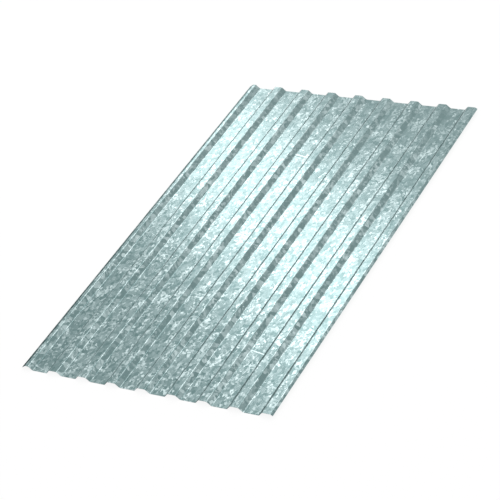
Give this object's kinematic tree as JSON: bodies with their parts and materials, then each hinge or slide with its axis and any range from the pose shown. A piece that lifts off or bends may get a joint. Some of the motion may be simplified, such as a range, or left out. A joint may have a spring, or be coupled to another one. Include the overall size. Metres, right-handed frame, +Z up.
{
  "type": "corrugated metal sheet",
  "caption": "Thin galvanised steel sheet rolled into shallow trapezoidal ribs along its length, with an underlap and an overlap rib at its sides, for roofs, walls and fences.",
  "frame": {"origin": "on the floor plane, under the middle of the sheet", "axes": "+X across the ribs, from the underlap edge to the overlap edge; +Y along the ribs; +Z up"},
  "size_m": [1.1428, 2, 0.0185],
  "materials": {
    "galvanised_steel": "satin"
  },
  "bodies": {
    "root": {"corrugated_sheet": "galvanised_steel"}
  },
  "joints": []
}
